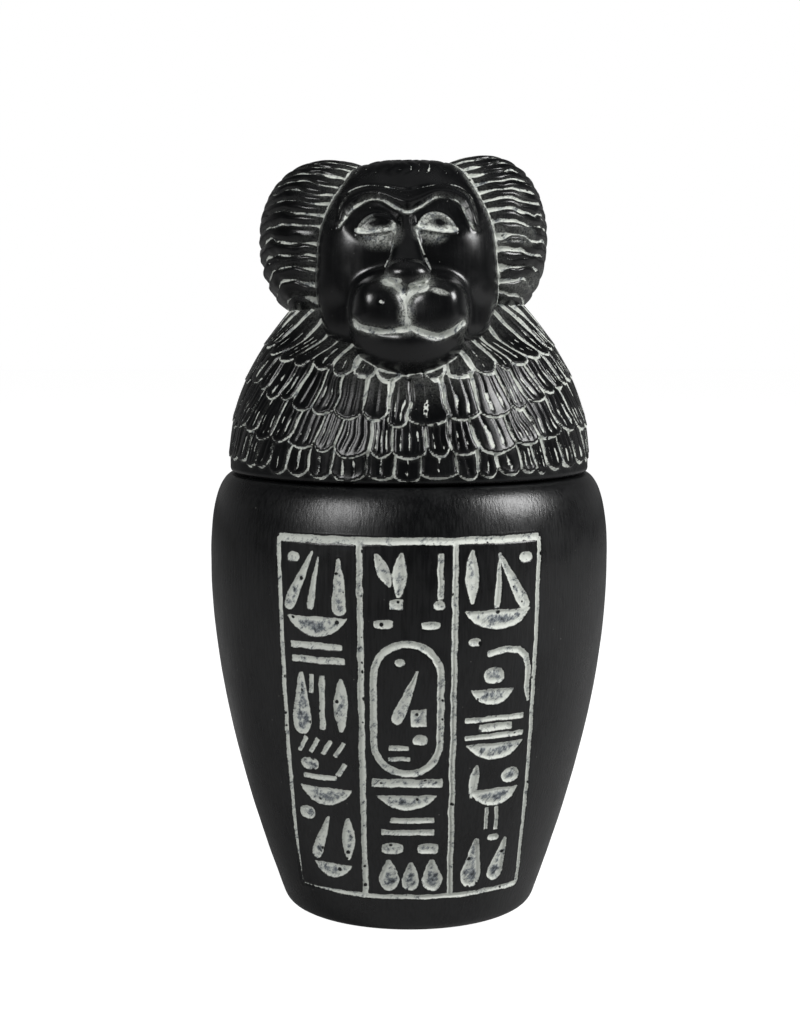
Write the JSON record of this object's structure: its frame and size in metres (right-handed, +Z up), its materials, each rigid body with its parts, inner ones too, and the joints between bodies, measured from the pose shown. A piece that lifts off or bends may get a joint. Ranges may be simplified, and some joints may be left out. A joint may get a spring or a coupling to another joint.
{
  "type": "canopic jar",
  "caption": "Hollow lidded jar with an engraved front panel and a baboon-headed lid in a feathered cape, cast in black resin.",
  "frame": {"origin": "middle of the flat underside of the foot", "axes": "+Z up through the jar and the lid, the engraved panel and the face towards -Y, +X to the right seen from the front"},
  "size_m": [0.0692, 0.0692, 0.1303],
  "materials": {
    "jar_resin": "satin black resin, off-white paint wiped into the engraving",
    "lid_resin": "satin black resin, off-white paint wiped into the carving"
  },
  "bodies": {
    "root": {"jar": "jar_resin", "baboon_head_lid": "lid_resin"}
  },
  "joints": []
}
